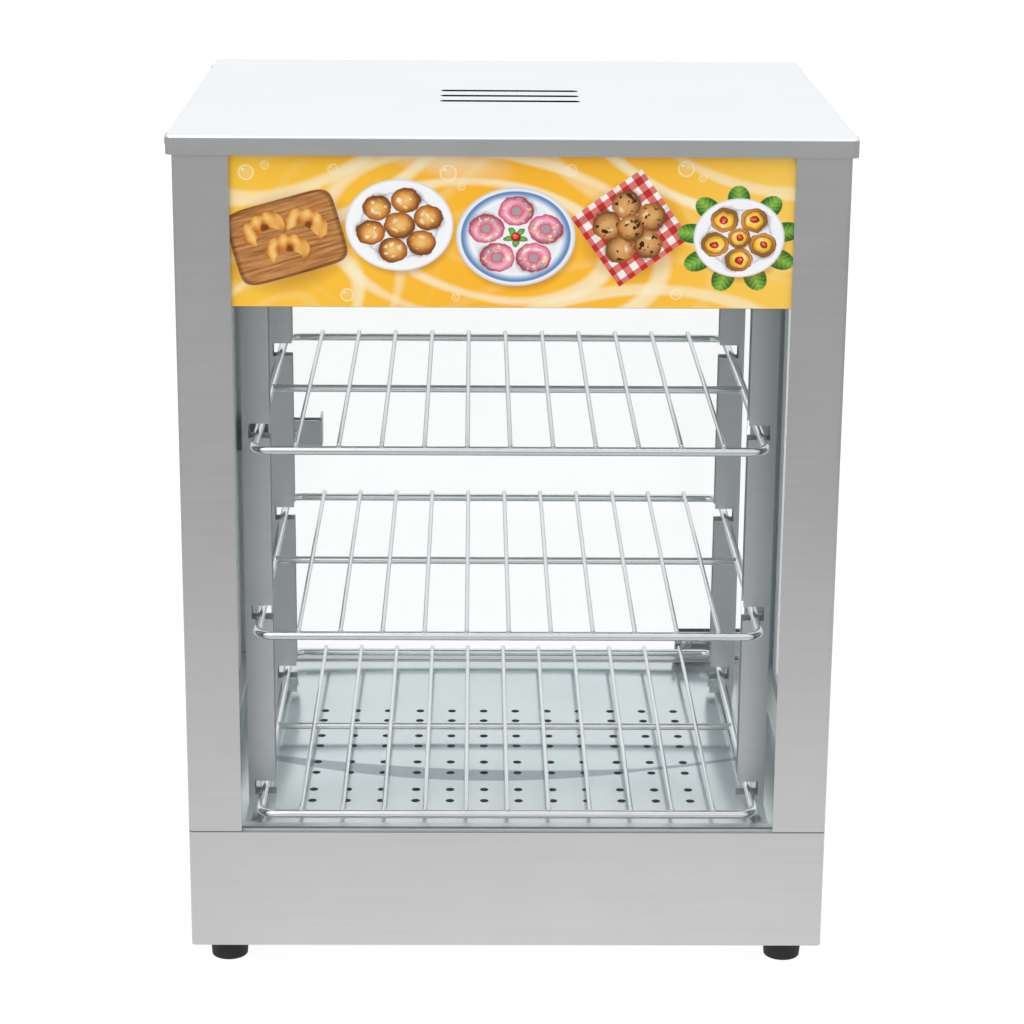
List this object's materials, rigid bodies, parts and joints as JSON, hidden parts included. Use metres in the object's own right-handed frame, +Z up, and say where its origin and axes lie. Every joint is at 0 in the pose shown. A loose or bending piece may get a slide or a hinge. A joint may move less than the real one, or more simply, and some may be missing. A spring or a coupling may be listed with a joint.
{
  "type": "electric food warmer",
  "caption": "Glazed countertop food warmer with wire shelves, perforated heated deck, lit header panel, hinged rear glass door and rear controls.",
  "frame": {"origin": "centre of the overall box, on the surface that the feet stand on", "axes": "+X to the customer's right, +Y towards the rear door, +Z up"},
  "size_m": [0.37, 0.316, 0.48],
  "materials": {
    "stainless": "fine brushed stainless sheet",
    "polished_deck": "bright rolled stainless sheet",
    "inner_sheet": "plain inner sheet metal",
    "bright_wire": "bright plated welded wire",
    "clear_glass": "clear toughened glass",
    "frosted_glass": "frosted glass",
    "printed_panel": "printed back-lit acrylic",
    "lamp_glass": "opal tube",
    "clear_seal": "translucent glazing profile",
    "nylon": "natural nylon",
    "dark_steel": "dark satin coated steel",
    "zinc_steel": "bright zinc-plated steel",
    "black_rubber": "matt rubber",
    "black_plastic": "black moulded plastic",
    "rocker_red": "translucent red plastic",
    "lens_amber": "amber lens",
    "dial_aluminium": "satin anodised",
    "element_sheath": "heat-tinted sheath",
    "copper_bulb": "copper bulb and capillary",
    "magnet_ferrite": "ferrite magnet and its angle"
  },
  "bodies": {
    "cabinet": {"base_wrap": "stainless", "base_back_panel": "stainless", "base_pan": "inner_sheet", "deck_plate": "polished_deck", "front_post_left": "stainless", "front_post_right": "stainless", "rear_post_left": "stainless", "rear_post_right": "stainless", "roof_lid": "stainless", "front_glass": "clear_glass", "side_glass_left": "clear_glass", "side_glass_right": "clear_glass", "glass_seals": "clear_seal", "header_panel": "printed_panel", "header_side_left": "stainless", "header_side_right": "stainless", "header_back_panel": "stainless", "ceiling_panel": "inner_sheet", "ceiling_diffuser": "frosted_glass", "lamp_tube": "lamp_glass", "lamp_end_caps": "dial_aluminium", "lamp_holders": "nylon", "lamp_reflector": "inner_sheet", "lamp_driver": "nylon", "shelf_rail_front_left": "stainless", "shelf_rail_front_right": "stainless", "shelf_rail_rear_left": "stainless", "shelf_rail_rear_right": "stainless", "pivot_bushes": "nylon", "door_magnet": "magnet_ferrite", "heat_shield": "inner_sheet", "heating_element": "element_sheath", "element_supports": "zinc_steel", "thermostat_body": "nylon", "dial_plate": "dial_aluminium", "panel_nuts": "zinc_steel", "power_switch_body": "black_plastic", "lamp_switch_body": "black_plastic", "indicator_lamp": "lens_amber", "cord_gland": "black_plastic", "sensor_bulb": "copper_bulb", "bulb_clips": "zinc_steel", "terminal_block": "nylon", "feet": "black_rubber", "foot_screws": "zinc_steel", "cabinet_screws": "zinc_steel"},
    "door": {"door_glass": "clear_glass", "door_pivot_bottom": "dark_steel", "door_pivot_top": "dark_steel", "door_clamp_pads": "black_rubber", "door_handle": "dark_steel", "door_fasteners": "zinc_steel"},
    "knob": {"thermostat_knob": "black_plastic"},
    "power_rocker": {"power_switch_rocker": "rocker_red"},
    "lamp_rocker": {"lamp_switch_rocker": "black_plastic"},
    "bottom_shelf": {"shelf_bottom": "bright_wire"},
    "middle_shelf": {"shelf_middle": "bright_wire"},
    "top_shelf": {"shelf_top": "bright_wire"}
  },
  "joints": [
    {"name": "door_hinge", "type": "hinge", "parent": "cabinet", "child": "door", "pos_m": [0.152, 0.134, 0.235], "axis": [0, 0, -1], "range_deg": [0, 110]},
    {"name": "thermostat_turn", "type": "hinge", "parent": "cabinet", "child": "knob", "pos_m": [-0.025, 0.145, 0.048], "axis": [0, -1, 0], "range_deg": [0, 270]},
    {"name": "power_rock", "type": "hinge", "parent": "cabinet", "child": "power_rocker", "pos_m": [0.096, 0.136, 0.048], "axis": [-1, 0, 0], "range_deg": [0, 12]},
    {"name": "lamp_rock", "type": "hinge", "parent": "cabinet", "child": "lamp_rocker", "pos_m": [0.062, 0.136, 0.048], "axis": [-1, 0, 0], "range_deg": [0, 12]},
    {"name": "bottom_shelf_slide", "type": "slide", "parent": "cabinet", "child": "bottom_shelf", "axis": [0, 1, 0], "range_m": [-0.0015, 0.002]},
    {"name": "middle_shelf_slide", "type": "slide", "parent": "cabinet", "child": "middle_shelf", "axis": [0, 1, 0], "range_m": [-0.0015, 0.002]},
    {"name": "top_shelf_slide", "type": "slide", "parent": "cabinet", "child": "top_shelf", "axis": [0, 1, 0], "range_m": [-0.0015, 0.002]}
  ]
}
